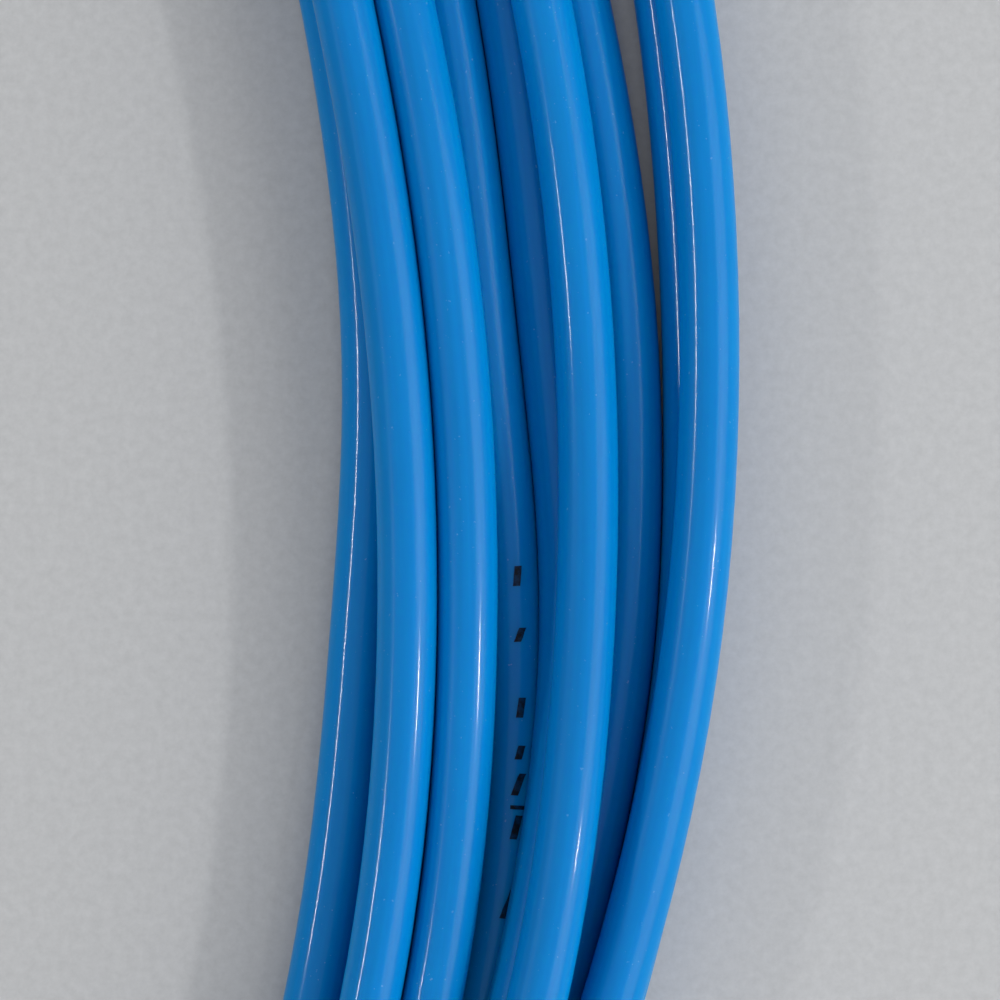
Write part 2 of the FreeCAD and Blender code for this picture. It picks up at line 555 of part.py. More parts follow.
def hose_end_outline(start):
    """Outline after a hexagon: thread, stem root and hose stem, up to the X axis bore."""
    thread_end = start + THREAD_LENGTH
    stem_start = thread_end + STEM_ROOT_LENGTH
    stem_end = thread_end + STEM_LENGTH
    return [
        (start, THREAD_RADIUS), (thread_end - THREAD_CHAMFER, THREAD_RADIUS),
        (thread_end, THREAD_RADIUS - THREAD_CHAMFER), (thread_end, HOSE_RADIUS),
        (stem_start - SEAT_GAP, HOSE_RADIUS), (stem_start - SEAT_GAP, STEM_RADIUS),
        (stem_end - STEM_END_TAPER, STEM_RADIUS), (stem_end, STEM_RADIUS - STEM_END_CHAMFER),
        (stem_end, AIR_BORE_RADIUS),
    ]


def coupler_tail():
    """Rear adaptor: screws into the body, guides the valve stem and carries the hose."""
    spigot = TAIL_BORE_RADIUS - THREAD_CLEARANCE
    front = TAIL_BORE_X + SEAT_GAP
    web_end = TAIL_BORE_X + TAIL_WEB
    hex_middle = TAIL_FLANGE_X + TAIL_HEX_LENGTH / 2
    tail = turned([
        (front, 0), (front, spigot), (hex_middle, spigot),
        (hex_middle, THREAD_RADIUS), *hose_end_outline(TAIL_THREAD_X),
        (TAIL_FLANGE_X, AIR_BORE_RADIUS), (TAIL_FLANGE_X - TAIL_CAVITY_CONE, TAIL_CAVITY_RADIUS),
        (web_end, TAIL_CAVITY_RADIUS), (web_end, 0),
    ])
    flange = hexagon(TAIL_FLANGE_X, TAIL_HEX_LENGTH, TAIL_HEX)
    tail = tail.fuse(flange.cut(bored(TAIL_FLANGE_X, TAIL_THREAD_X, AIR_BORE_RADIUS)))
    web_holes = [bored(TAIL_BORE_X, web_end, VALVE_STEM_RADIUS + VALVE_STEM_CLEARANCE)]
    for i in range(TAIL_FLOW_HOLES):
        angle = 2 * math.pi * i / TAIL_FLOW_HOLES
        hole = bored(TAIL_BORE_X, web_end, TAIL_FLOW_RADIUS)
        hole.translate(Vector(0, TAIL_FLOW_CIRCLE * math.cos(angle), TAIL_FLOW_CIRCLE * math.sin(angle)))
        web_holes.append(hole)
    return tail.cut(web_holes)


def tail_gasket():
    start = BODY_LENGTH + SEAT_GAP
    disc = bored(start, start + GASKET_THICKNESS, TAIL_BORE_RADIUS + GASKET_WIDTH)
    return disc.cut(bored(start, start + GASKET_THICKNESS, TAIL_BORE_RADIUS + THREAD_CLEARANCE))


# ---------------------------------------------------------------- hose nuts and guards
def hose_nut(thread_x):
    """Clamps the hose on its stem; its rear holds the anti-kink spring."""
    start = thread_x + SEAT_GAP
    hex_end = start + NUT_HEX_LENGTH
    end = start + NUT_LENGTH
    bore = HOSE_RADIUS + NUT_BORE_CLEARANCE
    thread_bore = THREAD_RADIUS + THREAD_CLEARANCE
    cone_middle = hose_start_x(thread_x)
    nut = turned([
        (start, thread_bore), (start, NUT_BOSS_RADIUS), (end - NUT_REAR_CHAMFER, NUT_BOSS_RADIUS),
        (end, NUT_BOSS_RADIUS - NUT_REAR_CHAMFER), (end, GUARD_BORE), (end - GUARD_SOCKET_DEPTH, GUARD_BORE),
        (end - GUARD_SOCKET_DEPTH, bore), (cone_middle + NUT_CONE / 2, bore),
        (cone_middle - NUT_CONE / 2, thread_bore),
    ])
    flats = hexagon(start, NUT_HEX_LENGTH, NUT_HEX)
    return nut.fuse(flats.cut(bored(start, hex_end, (THREAD_RADIUS + NUT_BOSS_RADIUS) / 2)))


def hose_guard(thread_x):
    """Anti-kink spring round the hose."""
    start = thread_x + 2 * SEAT_GAP + NUT_LENGTH - GUARD_SOCKET_DEPTH
    mean = HOSE_RADIUS + GUARD_CLEARANCE + GUARD_WIRE / 2
    return spring(start, start + GUARD_LENGTH, mean, GUARD_WIRE, GUARD_TURNS)


# ---------------------------------------------------------------- plug
def plug_nipple():
    """Nose with its locking groove, hexagon, thread and hose stem, turned in one piece."""
    groove = BORE_RADIUS - BALL_BITE - BALL_CLEARANCE
    groove_end = NOSE_TIP_LENGTH + NOSE_GROOVE_WIDTH
    hex_middle = NOSE_LENGTH + PLUG_HEX_LENGTH / 2
    nipple = turned([
        (0, AIR_BORE_RADIUS + AIR_BORE_CHAMFER), (0, NOSE_RADIUS - NOSE_TIP_CHAMFER),
        (NOSE_TIP_TAPER, NOSE_RADIUS), (NOSE_TIP_LENGTH, NOSE_RADIUS),
        (NOSE_TIP_LENGTH + GROOVE_FRONT_TAPER, groove), (groove_end - GROOVE_REAR_TAPER, groove),
        (groove_end, NOSE_RADIUS), (hex_middle, NOSE_RADIUS), (hex_middle, THREAD_RADIUS),
        *hose_end_outline(PLUG_THREAD_X), (AIR_BORE_CHAMFER, AIR_BORE_RADIUS),
    ])
    grip = hexagon(NOSE_LENGTH, PLUG_HEX_LENGTH, NUT_HEX)
    return nipple.fuse(grip.cut(bored(NOSE_LENGTH, PLUG_THREAD_X, AIR_BORE_RADIUS)))


# ---------------------------------------------------------------- the assembly
def all_parts():
    parts = {
        "hose_coil": hose_coil(),
        "hose_tail_socket": hose_tail("hose_tail_socket", SOCKET_ROUTE),
        "hose_tail_plug": hose_tail("hose_tail_plug", PLUG_ROUTE),
    }
    for i in range(TIE_COUNT):
        parts[f"tie_{i + 1}"] = cable_tie(FIRST_TIE_ANGLE + 360 / TIE_COUNT * i)

    socket = {
        "coupler_body": coupler_body(),
        "coupler_sleeve": coupler_sleeve(),
        "sleeve_stop_ring": sleeve_stop_ring(),
        "sleeve_spring": sleeve_spring(),
        "plug_seal": plug_seal(),
        "valve_poppet": valve_poppet(),
        "valve_seal": valve_seal(),
        "valve_spring": valve_spring(),
        "coupler_tail": coupler_tail(),
        "tail_gasket": tail_gasket(),
        "coupler_nut": hose_nut(TAIL_THREAD_X),
        "coupler_guard": hose_guard(TAIL_THREAD_X),
    }
    for i, outward in enumerate(ball_directions()):
        centre = Vector(BALL_X, 0, 0) + outward * BALL_CIRCLE
        socket[f"locking_ball_{i + 1}"] = Part.makeSphere(BALL_RADIUS, centre)
    for name, shape in socket.items():
        parts[name] = laid(shape, SOCKET_MOUTH)

    plug = {
        "plug_nipple": plug_nipple(),
        "plug_nut": hose_nut(PLUG_THREAD_X),
        "plug_guard": hose_guard(PLUG_THREAD_X),
    }
    for name, shape in plug.items():
        parts[name] = laid(shape, PLUG_TIP)
    return parts


os.makedirs("parts", exist_ok=True)
for node, part in all_parts().items():
    print(node, "solids", len(part.Solids), "valid", part.isValid(), "mm3", round(part.Volume, 1))
    part.exportStep(f"parts/{node}.step")
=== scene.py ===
"""Looks of the coiled air hose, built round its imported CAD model. Metres, +Z up, same frame.

The hose is one NURBS line: a free end from the coupler's stem, ten loose turns held by four ties,
and a free end to the plug.
"""
import json
import math
import random

import bmesh
import bpy
import numpy as np
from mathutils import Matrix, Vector


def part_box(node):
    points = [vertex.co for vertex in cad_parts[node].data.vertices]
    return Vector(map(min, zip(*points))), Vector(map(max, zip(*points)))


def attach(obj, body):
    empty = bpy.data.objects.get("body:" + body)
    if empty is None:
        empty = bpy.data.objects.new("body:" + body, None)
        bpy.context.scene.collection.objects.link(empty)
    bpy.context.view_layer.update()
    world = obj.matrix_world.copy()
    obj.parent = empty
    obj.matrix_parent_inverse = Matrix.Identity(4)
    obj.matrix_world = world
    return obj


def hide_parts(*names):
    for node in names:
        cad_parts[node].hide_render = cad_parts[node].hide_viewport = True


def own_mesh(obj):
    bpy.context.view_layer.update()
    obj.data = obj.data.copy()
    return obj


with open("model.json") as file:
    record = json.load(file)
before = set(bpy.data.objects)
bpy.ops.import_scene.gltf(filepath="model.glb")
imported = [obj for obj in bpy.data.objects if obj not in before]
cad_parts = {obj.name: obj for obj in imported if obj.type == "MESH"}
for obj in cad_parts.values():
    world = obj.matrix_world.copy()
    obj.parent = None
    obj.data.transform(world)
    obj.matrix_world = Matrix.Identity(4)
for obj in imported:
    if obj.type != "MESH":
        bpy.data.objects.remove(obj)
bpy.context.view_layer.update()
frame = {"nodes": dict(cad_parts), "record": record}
NODES = frame["nodes"]
MM = 0.001
random.seed(7)

# ---------------------------------------------------------------- sizes
HOSE_DIAMETER = 6.0 * MM
HOSE_RADIUS = HOSE_DIAMETER / 2
HOSE_SIDES = 24
RING_RADIUS = 240.0 * MM
TIE_ANGLES = (52.0, 142.0, 232.0, 322.0)
TIE_LIFT = 1.4 * MM              # strap under the bundle
HOSE_ON_FLOOR = 3.05 * MM        # height of a free end's middle on the floor
HOSE_ON_HOSE = 9.3 * MM          # and where it crosses another tube

SOCKET_STEM_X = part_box("hose_tail_socket")[1].x
PLUG_STEM_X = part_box("hose_tail_plug")[1].x
SOCKET_AXIS_Y = sum(corner.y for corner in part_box("coupler_tail")) / 2
SOCKET_AXIS_Z = sum(corner.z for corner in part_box("coupler_tail")) / 2
PLUG_AXIS_Y = sum(corner.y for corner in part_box("plug_nipple")) / 2
PLUG_AXIS_Z = sum(corner.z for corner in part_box("plug_nipple")) / 2

# free ends, each from its fitting's stem into the bundle: the same points as the CAD tubes
SOCKET_ROUTE = [
    (SOCKET_STEM_X, SOCKET_AXIS_Y, SOCKET_AXIS_Z),
    (-0.104, 0.118, SOCKET_AXIS_Z),
    (-0.136, 0.1125, 0.007),
    (-0.164, 0.097, 0.004),
    (-0.1875, 0.0735, HOSE_ON_FLOOR),
    (-0.204, 0.0455, HOSE_ON_FLOOR),
    (-0.2135, 0.0155, HOSE_ON_FLOOR),
    (-0.2175, -0.0155, HOSE_ON_FLOOR),
    (-0.2185, -0.0465, HOSE_ON_FLOOR),
]
PLUG_ROUTE = [
    (PLUG_STEM_X, PLUG_AXIS_Y, PLUG_AXIS_Z),
    (-0.092, -0.131, PLUG_AXIS_Z),
    (-0.124, -0.128, 0.0036),
    (-0.156, -0.118, HOSE_ON_FLOOR),
    (-0.1837, -0.0997, 0.0056),
    (-0.2067, -0.0752, HOSE_ON_HOSE),
    (-0.2215, -0.0471, HOSE_ON_HOSE + 0.5 * MM),
    (-0.2284, -0.016, HOSE_ON_HOSE),
]

# ---------------------------------------------------------------- camera
# straight down on the right-hand stretch of the ring
VIEW_CENTRE = Vector((0.236, -0.011, 0.0))
VIEW_WIDTH = 0.100
VIEW_LEVEL = 0.009               # height at which the picture is that wide
CAMERA_HEIGHT = 0.60


def make_camera():
    data = bpy.data.cameras.new("camera")
    data.sensor_width = 36.0
    data.lens = data.sensor_width * (CAMERA_HEIGHT - VIEW_LEVEL) / VIEW_WIDTH
    camera = bpy.data.objects.new("camera", data)
    camera.location = VIEW_CENTRE + Vector((0, 0, CAMERA_HEIGHT))
    bpy.context.scene.collection.objects.link(camera)
    bpy.context.scene.camera = camera


make_camera()


# ---------------------------------------------------------------- winding
# Ten turns lie in ten places. In a tie they nest in three layers. Between ties they fan out.
STEP = 3                         # degrees between control points
STATIONS = 360 // STEP
FIRST_ANGLE = -159               # first and last control points on the ring
LAST_ANGLE = 3414
LAYER = math.sqrt(3) / 2 * 6.0   # millimetres, as is all of this section

TIED_PLACES = {                  # across the ring, layer
    "B0": (-6, 0), "B1": (0, 0), "B2": (6, 0),
    "M0": (-9, 1), "M1": (-3, 1), "M2": (3, 1), "M3": (9, 1),
    "T0": (-6, 2), "T1": (0, 2), "T2": (6, 2),
}
ORDER = ["B0", "B1", "B2", "M3", "T2", "T1", "M2", "M1", "M0", "T0"]

# the fan at +X: across the ring at four angles, height over the floor, and how firmly each holds
SEEN_AT = (-14.3, -6.3, 1.4, 9.2)
SEEN_FAN = {
    "B0": ((-6.5, -9.0, -11.3, -12.0), 2.75, (0.02, 0.02, 0.3, 0.3)),
    "B1": ((2.8, -0.3, -6.0, -6.2), 0.0, (1, 1, 1, 1)),
    "B2": ((9.0, 10.2, 9.3, 7.2), 0.0, (0.8, 0.9, 1, 1)),
    "M3": ((14.6, 15.9, 15.2, 15.9), 0.0, (0.6, 0.4, 0.2, 0.6)),
    "T2": ((14.6, 16.6, 17.1, 17.6), 5.0, (1, 1, 1, 1)),
    "T1": ((7.6, 5.7, 4.5, 3.3), 5.0, (1, 1, 1, 1)),
    "M2": ((5.6, 5.0, 0.1, -0.2), 0.0, (0.02, 0.2, 1, 1)),
    "M1": ((-2.6, -5.9, -8.4, -10.7), 7.5, (1, 1, 1, 1)),
    "M0": ((-14.6, -17.3, -16.6, -17.5), 0.0, (1, 1, 1, 1)),
    "T0": ((-8.8, -11.9, -14.4, -16.0), 8.2, (1, 1, 1, 1)),
}
# the other fans, at +Y, -X and -Y: across the ring at the middle, layer
FANS = {
    97: {"B0": (-9.5, 0), "B1": (-2.2, 0), "B2": (8.2, 0), "M3": (15.8, 0), "T2": (12.4, 1),
         "T1": (4.6, 1), "M2": (-6.6, 1), "M1": (-13.2, 1), "M0": (-16.4, 0), "T0": (-1.4, 1)},
    187: {"B0": (-8.5, 0), "B1": (-1.0, 0), "B2": (7.5, 0), "M3": (15.6, 0), "T2": (14.0, 1),
          "T1": (6.0, 1), "M2": (1.0, 1), "M1": (-4.5, 1), "M0": (-6.0, 1.4), "T0": (-5.0, 2.0)},
    277: {"B0": (-10.4, 0), "B1": (-3.4, 0), "B2": (5.6, 0), "M3": (13.2, 0), "T2": (16.2, 1),
          "T1": (8.8, 1), "M2": (1.2, 1), "M1": (-5.8, 1), "M0": (-16.6, 0), "T0": (-12.6, 1)},
}
SEEN_FAN_ANGLE = 7
RUN_ON = 0.5                     # share of its slope that a line keeps past its seen stretch
FAN_LAYER = 5.0                  # height of a layer where the turns fan out
FAN_FIRMNESS = 0.3
FAN_REACH = 43                   # degrees from the middle of a fan to where it is tied
TIED_FIRMNESS_FALL = 1.2         # how fast the ties' hold fades as the turns fan out
FLOOR = 3.0                      # height of a tube's middle on the floor
LIFT = TIE_LIFT / MM
FIRST_TURN_START = (-16.5, FLOOR, 0.8)   # across, height and firmness where the socket's end joins
LAST_TURN_GAP = 6.1              # from the last turn's middle to that of the one it goes over
LAST_TURN_FROM = 60              # degrees round that turn, where the last one starts to cross it
LAST_TURN_SWEEP = 130
LAST_TURN_FIRMNESS = 0.8
FREE_END_SHARE = 0.85            # points further out than this share of the ring lie in the bundle

# how the tubes settle
SETTLING = 600                   # rounds in which they are drawn to their targets
ROUNDS = 640
TUBE_GAP = HOSE_DIAMETER / MM + 0.02
PULL_ACROSS = (0.35, 0.004)      # for each round: times the firmness, and for all
PULL_UP_TIED = 0.33
PULL_UP_LOOSE = 0.03
SINK = 0.02
YIELD = 25                       # how much less a firm tube gives way
PUSHES = 2
PUSH = 0.7
STIFFNESS = 0.2
LAST_STIFFNESS = 0.01
TIED_WITHIN = 4                  # degrees from a tie
STRAP_LIFTS_WITHIN = 14
FAR = 1000.0


def eased(t):
    t = min(1.0, max(0.0, t))
    return t * t * (3 - 2 * t)


def signed(angle):
    return (angle + 180) % 360 - 180


def seen_place(place, angle):
    """Across, height and firmness in the fan at +X. Past its seen stretch each line runs on."""
    across, height, firmness = SEEN_FAN[place]
    x = float(np.interp(angle, SEEN_AT, across))
    for end, inner in ((0, 1), (3, 2)):
        past = angle - SEEN_AT[end]
        if past * (SEEN_AT[end] - SEEN_AT[inner]) > 0:
            x += RUN_ON * past * (across[end] - across[inner]) / (SEEN_AT[end] - SEEN_AT[inner])
    return x, height, float(np.interp(angle, SEEN_AT, firmness))


def place_target(place, angle):
    """Across, height and firmness of a place at any angle round the ring."""
    fan = min((SEEN_FAN_ANGLE, *FANS), key=lambda f: abs(signed(angle - f)))
    tied_x, tied_layer = TIED_PLACES[place]
    if fan == SEEN_FAN_ANGLE:
        a = signed(angle)
        x, height, firm = seen_place(place, a)
        edge, tie = (SEEN_AT[-1], TIE_ANGLES[0]) if a > fan else (SEEN_AT[0], TIE_ANGLES[3] - 360)
        fanned = 1.0 if SEEN_AT[0] <= a <= SEEN_AT[-1] else 1 - eased((a - edge) / (tie - edge))
    else:
        x, layer = FANS[fan][place]
        height, firm = FAN_LAYER * layer, FAN_FIRMNESS
        fanned = 1 - eased(abs(signed(angle - fan)) / FAN_REACH)
    x = tied_x + (x - tied_x) * fanned
    up = (tied_layer * LAYER + LIFT) * (1 - fanned) + height * fanned + FLOOR
    return x, up, max(firm * fanned, 1 - TIED_FIRMNESS_FALL * fanned)


def turn_target(turn, angle):
    """The same for a turn. On the far side of the ring each turn moves over to the next place.

    The last turn goes over the one before it there, and comes down on its inner side.
    """
    start, width = TIE_ANGLES[1], TIE_ANGLES[2] - TIE_ANGLES[1]
    if angle > start and turn + 1 == len(ORDER):
        x, z, _ = turn_target(turn - 1, angle)
        crossed = eased((angle - start) / (LAST_ANGLE % 360 - start))
        around = math.radians(LAST_TURN_FROM + LAST_TURN_SWEEP * crossed)
        over = [x + LAST_TURN_GAP * math.cos(around), z + LAST_TURN_GAP * math.sin(around)]
        return over + [LAST_TURN_FIRMNESS]
    if angle > start:
        share, before, after = eased((angle - start) / width), turn, turn + 1
    elif angle < TIE_ANGLES[2] - 360:
        share, before, after = eased((angle + 360 - start) / width), turn - 1, turn
    else:
        share, before, after = 0.0, turn, turn
    ends = [place_target(ORDER[i], angle) if i >= 0 else FIRST_TURN_START for i in (before, after)]
    return [a * (1 - share) + b * share for a, b in zip(*ends)]


def beside_bundle(route):
    """Angle, across and height of the points of a free end that lie in the bundle."""
    inside = np.array([p for p in route if math.hypot(p[0], p[1]) > FREE_END_SHARE * RING_RADIUS])
    angles = np.degrees(np.arctan2(inside[:, 1], inside[:, 0])) % 360
    return angles, (np.hypot(inside[:, 0], inside[:, 1]) - RING_RADIUS) / MM, inside[:, 2] / MM


def free_end_places(free_end, joins_at, x, z):
    """Across and height of a free end at each station, up to where it joins the ring at x, z."""
    angles, across, height = free_end
    angles = np.append(angles, joins_at)
    order = np.argsort(angles)
    at = np.arange(STATIONS) * STEP
    places = [np.interp(at, angles[order], np.append(v, end)[order], left=FAR, right=FAR)
              for v, end in ((across, x), (height, z))]
    return [np.where(at == joins_at, FAR, v) for v in places]


def wind():
    """Control points on the ring. Each tube is drawn to its target and settles on the others."""
    index = np.arange(FIRST_ANGLE // STEP, LAST_ANGLE // STEP + 1)
    turn = np.floor(index / STATIONS + 0.5).astype(int)
    station = index - turn * STATIONS
    target = np.array([turn_target(k, s * STEP) for k, s in zip(turn, station)])
    x_target, z_target, firm = target.T
    cell = (turn, station % STATIONS)
    rows = turn.max() + 1
    to_tie = np.array([min(abs(signed(s * STEP - t)) for t in TIE_ANGLES) for s in station])
    pull_up = np.where(to_tie < TIED_WITHIN, PULL_UP_TIED, PULL_UP_LOOSE)
    floor = FLOOR + LIFT * np.sin(np.clip(1 - to_tie / STRAP_LIFTS_WITHIN, 0, 1) * math.pi / 2)
    free_ends = [
        (beside_bundle(SOCKET_ROUTE), FIRST_ANGLE % 360, 0),
        (beside_bundle(PLUG_ROUTE), LAST_ANGLE % 360, -1),
    ]
    across, height = np.full((rows, STATIONS), np.nan), np.full((rows, STATIONS), np.nan)
    give = np.ones((rows, STATIONS))
    give[cell] = 1 / (1 + YIELD * firm)
    share = give[:, None, :] / (give[:, None, :] + give[None, :, :])
    own = np.arange(rows)
    x, z = x_target.copy(), z_target.copy()
    for step in range(ROUNDS):
        if step < SETTLING:
            x += (PULL_ACROSS[0] * firm + PULL_ACROSS[1]) * (x_target - x)
            z += pull_up * (z_target - z) - SINK
        for _ in range(PUSHES):
            across[cell], height[cell] = x, z
            dx = across[:, None, :] - across[None, :, :]
            dz = height[:, None, :] - height[None, :, :]
            apart = np.hypot(dx, dz)
            apart[own, own, :] = np.inf
            apart = np.where(np.isnan(apart), np.inf, np.maximum(apart, 1e-6))
            push = np.maximum(TUBE_GAP - apart, 0) / apart
            move_x = np.nansum(push * np.nan_to_num(dx) * share, axis=1)
            move_z = np.nansum(push * np.nan_to_num(dz) * 0.5, axis=1)
            for free_end, joins_at, i in free_ends:
                end_x, end_z = free_end_places(free_end, joins_at, x[i], z[i])
                ex, ez = np.nan_to_num(across - end_x, nan=FAR), np.nan_to_num(height - end_z, nan=FAR)
                e = np.maximum(np.hypot(ex, ez), 1e-6)
                push_e = np.maximum(TUBE_GAP - e, 0) / e
                move_x += push_e * ex
                move_z += push_e * ez
            x += PUSH * move_x[cell]
            z = np.maximum(z + PUSH * move_z[cell], floor)
        stiff = STIFFNESS if step < SETTLING else LAST_STIFFNESS
        for v in (x, z):
            v[1:-1] += stiff * ((v[:-2] + v[2:]) / 2 - v[1:-1])
        z = np.maximum(z, floor)
    angle = np.radians(index * STEP)
    out = RING_RADIUS + x * MM
    return np.column_stack((out * np.cos(angle), out * np.sin(angle), z * MM))


# ---------------------------------------------------------------- mesh helpers
def add_mesh(name, verts, faces, smooth=True):
    mesh = bpy.data.meshes.new(name)
    mesh.from_pydata([tuple(v) for v in verts], [], faces)
    mesh.validate()
    if smooth:
        mesh.polygons.foreach_set("use_smooth", [True] * len(mesh.polygons))
    obj = bpy.data.objects.new(name, mesh)
    bpy.context.scene.collection.objects.link(obj)
    return obj


def nurbs_line(name, points, per_point):
    """Points along one open NURBS spline, and nothing left of its curve."""
    data = bpy.data.curves.new(name, "CURVE")
    data.dimensions = "3D"
    data.resolution_u = per_point
    spline = data.splines.new("NURBS")
    spline.points.add(len(points) - 1)
    for control, point in zip(spline.points, points):
        control.co = (*point, 1.0)
    spline.order_u = 3
    spline.use_endpoint_u = True
    obj = bpy.data.objects.new(name, data)
    bpy.context.scene.collection.objects.link(obj)
    mesh = bpy.data.meshes.new_from_object(obj.evaluated_get(bpy.context.evaluated_depsgraph_get()))
    line = np.array([v.co for v in mesh.vertices], float)
    bpy.data.objects.remove(obj)
    bpy.data.curves.remove(data)
    bpy.data.meshes.remove(mesh)
    return line


def frames_along(line):
    """Side and up at each point of a line that is never upright."""
    ahead = np.gradient(line, axis=0)
    ahead /= np.linalg.norm(ahead, axis=1)[:, None]
    side = np.cross(ahead, (0, 0, 1))
    side /= np.linalg.norm(side, axis=1)[:, None]
    return side, np.cross(side, ahead)


def distance_along(line):
    return np.concatenate([[0], np.cumsum(np.linalg.norm(np.diff(line, axis=0), axis=1))])


def loft_faces(rows, cols):
    """Faces of a closed loft through rows of cols points, with both end caps."""
    sides = [(row + j, row + (j + 1) % cols, row + cols + (j + 1) % cols, row + cols + j)
             for row in range(0, (rows - 1) * cols, cols) for j in range(cols)]
    return sides + [tuple(range(cols))[::-1], tuple((rows - 1) * cols + j for j in range(cols))]


def tube(name, line, radius, sides):
    """Closed tube along a line, its faces wound inwards.

    Its tube_place attribute is (distance along, across, up) in metres.
    """
    side, up = frames_along(line)
    along = distance_along(line)
    turns = np.arange(sides) * 2 * math.pi / sides
    cos, sin = np.cos(turns)[None, :, None], np.sin(turns)[None, :, None]
    ring = radius * (cos * up[:, None] + sin * side[:, None])
    verts = (line[:, None] + ring).reshape(-1, 3)
    around = (radius * np.sin(turns), radius * np.cos(turns))
    place = np.stack(np.broadcast_arrays(along[:, None], *around), -1)
    obj = add_mesh(name, verts, [face[::-1] for face in loft_faces(len(line), sides)])
    layer = obj.data.attributes.new("tube_place", "FLOAT_VECTOR", "POINT")
    layer.data.foreach_set("vector", place.reshape(-1).astype(np.float32))
    return obj


# ---------------------------------------------------------------- materials
class Nodes:
    """Short way to write a material's nodes."""

    def __init__(self, name):
        self.material = bpy.data.materials.new(name)
        self.material.use_nodes = True
        self.tree = self.material.node_tree
        self.shader = self.tree.nodes["Principled BSDF"]

    def node(self, kind, **values):
        node = self.tree.nodes.new("ShaderNode" + kind)
        for key, value in values.items():
            if hasattr(node, key):
                setattr(node, key, value)
            else:
                node.inputs[key.replace("_", " ")].default_value = value
        return node

    def link(self, output, target):
        self.tree.links.new(output, target)

    def set(self, **values):
        for key, value in values.items():
            self.shader.inputs[key.replace("_", " ")].default_value = value

    def noise(self, where, scale, detail=2.0, roughness=0.5, stretch=None):
        if stretch:
            mapping = self.node("Mapping")
            mapping.inputs["Scale"].default_value = stretch
            self.link(where, mapping.inputs["Vector"])
            where = mapping.outputs["Vector"]
        node = self.node("TexNoise", Scale=scale, Detail=detail, Roughness=roughness)
        self.link(where, node.inputs["Vector"])
        return node.outputs["Fac"]

    def ramp(self, value, *stops):
        """Stops are (place, colour or grey)."""
        node = self.node("ValToRGB")
        elements = node.color_ramp.elements
        while len(elements) < len(stops):
            elements.new(0.5)
        for element, (place, colour) in zip(elements, stops):
            element.position = place
            element.color = (*colour, 1) if hasattr(colour, "__len__") else (colour, colour, colour, 1)
        self.link(value, node.inputs["Fac"])
        return node.outputs["Color"]

    def mix(self, factor, a, b, blend_type="MIX"):
        node = self.node("Mix", data_type="RGBA", blend_type=blend_type)
        for socket, value in zip((node.inputs[0], node.inputs[6], node.inputs[7]), (factor, a, b)):
            if isinstance(value, (int, float)):
                socket.default_value = value
            elif isinstance(value, tuple):
                socket.default_value = (*value, 1)
            else:
                self.link(value, socket)
        return node.outputs[2]

    def math(self, operation, a, b=0.0):
        node = self.node("Math", operation=operation)
        for socket, value in zip(node.inputs, (a, b)):
            if isinstance(value, (int, float)):
                socket.default_value = value
            else:
                self.link(value, socket)
        return node.outputs[0]

    def place(self, attribute=None):
        if attribute:
            return self.node("Attribute", attribute_name=attribute).outputs["Vector"]
        return self.node("TexCoord").outputs["Object"]

    def rounded_edges(self, radius):
        """Rounds the edges in shading, and gives 0 on faces and up to 1 at the edges."""
        bevel = self.node("Bevel", Radius=radius, samples=4)
        self.link(bevel.outputs["Normal"], self.shader.inputs["Normal"])
        flat = self.node("VectorMath", operation="DOT_PRODUCT")
        self.link(bevel.outputs["Normal"], flat.inputs[0])
        self.link(self.node("NewGeometry").outputs["Normal"], flat.inputs[1])
        return self.ramp(flat.outputs["Value"], (0.90, 1.0), (0.985, 0.0))

    def bump(self, height, strength, distance):
        node = self.node("Bump", Strength=strength, Distance=distance)
        self.link(height, node.inputs["Height"])
        if self.shader.inputs["Normal"].links:
            self.link(self.shader.inputs["Normal"].links[0].from_socket, node.inputs["Normal"])
        self.link(node.outputs["Normal"], self.shader.inputs["Normal"])


def hose_material():
    """Clear-tinted blue polyurethane: soft gloss, faint draw lines, rubbed patches and a little dust."""
    n = Nodes("blue_polyurethane")
    where = n.place("tube_place")
    n.set(IOR=1.5, Specular_IOR_Level=0.07, Coat_Weight=0.16, Coat_Roughness=0.07, Coat_IOR=1.45)
    n.set(Subsurface_Weight=0.75, Subsurface_Scale=0.0035)
    n.shader.inputs["Subsurface Radius"].default_value = (0.15, 0.7, 1.0)
    cloudy = n.noise(where, 9.0, 4.0, 0.55)
    colour = n.ramp(cloudy, (0.30, (0.000, 0.205, 0.545)), (0.55, (0.000, 0.232, 0.600)),
                    (0.75, (0.000, 0.262, 0.650)))
    lines = n.noise(where, 1.0, 3.0, 0.6, stretch=(14, 1500, 1500))
    colour = n.mix(0.14, colour, n.ramp(lines, (0.35, 0.6), (0.65, 1.0)), "MULTIPLY")
    rubbed = n.ramp(n.noise(where, 55.0, 5.0, 0.62), (0.58, 0.0), (0.80, 1.0))
    colour = n.mix(n.math("MULTIPLY", rubbed, 0.16), colour, (0.004, 0.34, 0.70))
    dust = n.ramp(n.noise(where, 2600.0, 1.0, 0.4), (0.76, 0.0), (0.79, 1.0))
    colour = n.mix(n.math("MULTIPLY", dust, 0.22), colour, (0.36, 0.58, 0.74))
    n.link(colour, n.shader.inputs["Base Color"])
    rough = n.ramp(n.noise(where, 30.0, 4.0, 0.6), (0.3, 0.30), (0.7, 0.40))
    rough = n.mix(n.math("MULTIPLY", rubbed, 0.5), rough, (0.52, 0.52, 0.52))
    n.link(rough, n.shader.inputs["Roughness"])
    n.bump(lines, 0.05, 0.00004)
    n.bump(n.noise(where, 170.0, 2.0, 0.5), 0.12, 0.00022)
    return n.material


